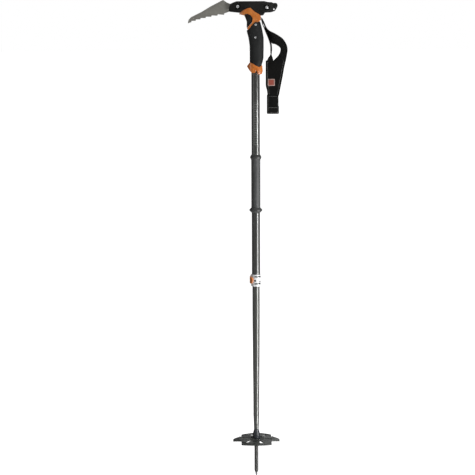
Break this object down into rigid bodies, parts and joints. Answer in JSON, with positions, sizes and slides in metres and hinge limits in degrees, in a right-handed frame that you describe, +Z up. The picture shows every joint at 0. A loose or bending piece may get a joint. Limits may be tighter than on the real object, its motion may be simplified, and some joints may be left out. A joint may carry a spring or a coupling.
{
  "type": "adjustable pole with self-arrest ice-axe head",
  "caption": "Two-section telescopic touring pole whose grip carries a toothed ice-axe pick, with lever clamp, wrist strap and snow basket.",
  "frame": {"origin": "point of the steel tip, on the shaft axis", "axes": "+Z up the shaft towards the head, pick points to -X, Y is square to the pick's plate; the pole is at its shortest setting"},
  "size_m": [0.2111, 0.086, 1.0464],
  "materials": {
    "pick_steel": "warm grey hardened steel, satin blasted with ground spine bevel",
    "head_plastic": "moulded black, fine texture",
    "orange_plastic": "moulded orange, semi-gloss",
    "lever_plastic": "moulded orange, semi-gloss",
    "grip_rubber": "soft black rubber, matt",
    "fastener_steel": "bright stainless",
    "upper_tube": "dark grey anodised aluminium tube",
    "lower_tube": "dark grey anodised aluminium tube",
    "sleeve_rubber": "blue-grey smooth rubber",
    "ring_plastic": "dark grey moulding",
    "clamp_alloy": "bright forged aluminium, satin",
    "plug_plastic": "black nylon",
    "ferrule_plastic": "dark grey glass-filled nylon",
    "tip_carbide": "dark sintered carbide",
    "hub_plastic": "blue-black moulding",
    "basket_plastic": "grey-green soft moulding",
    "webbing": "black flat webbing",
    "strap_fabric": "black padded webbing",
    "label_fabric": "plain woven patch, red and cream"
  },
  "bodies": {
    "upper_pole": {"pick": "pick_steel", "head_shell_near": "head_plastic", "head_shell_far": "head_plastic", "head_bolts": "fastener_steel", "head_nuts": "fastener_steel", "grip_core": "orange_plastic", "finger_pad": "grip_rubber", "grip_cover": "grip_rubber", "grip_collar": "orange_plastic", "grip_screws": "fastener_steel", "grip_screw_nuts": "fastener_steel", "strap_pin": "fastener_steel", "upper_shaft": "upper_tube", "shaft_plug": "plug_plastic", "choke_sleeve": "sleeve_rubber", "upper_sleeve_ring": "ring_plastic", "lower_sleeve_ring": "ring_plastic", "clamp_band": "clamp_alloy", "clamp_screw": "fastener_steel", "lever_pin": "fastener_steel"},
    "lock_lever": {"lock_lever": "lever_plastic"},
    "guide_plug": {"guide_plug": "plug_plastic"},
    "lower_pole": {"lower_shaft": "lower_tube", "ferrule": "ferrule_plastic", "carbide_tip": "tip_carbide", "basket_hub": "hub_plastic", "basket": "basket_plastic"},
    "wrist_strap": {"strap_inner_leg": "webbing", "strap_outer_leg": "webbing", "strap_pad": "strap_fabric", "strap_tab": "webbing", "strap_label": "label_fabric"}
  },
  "joints": [
    {"name": "section_slide", "type": "slide", "parent": "upper_pole", "child": "guide_plug", "axis": [0, 0, -1], "range_m": [0, 0.35]},
    {"name": "lower_twist", "type": "hinge", "parent": "guide_plug", "child": "lower_pole", "pos_m": [0, 0, 0.87], "axis": [0, 0, 1], "continuous": true},
    {"name": "lever_open", "type": "hinge", "parent": "upper_pole", "child": "lock_lever", "pos_m": [-0.0082, 0.014, 0.447], "axis": [0, 0, -1], "range_deg": [0, 150]},
    {"name": "strap_swing", "type": "hinge", "parent": "upper_pole", "child": "wrist_strap", "pos_m": [0.0076, 0, 1.0085], "axis": [0, -1, 0], "range_deg": [0, 40]}
  ]
}
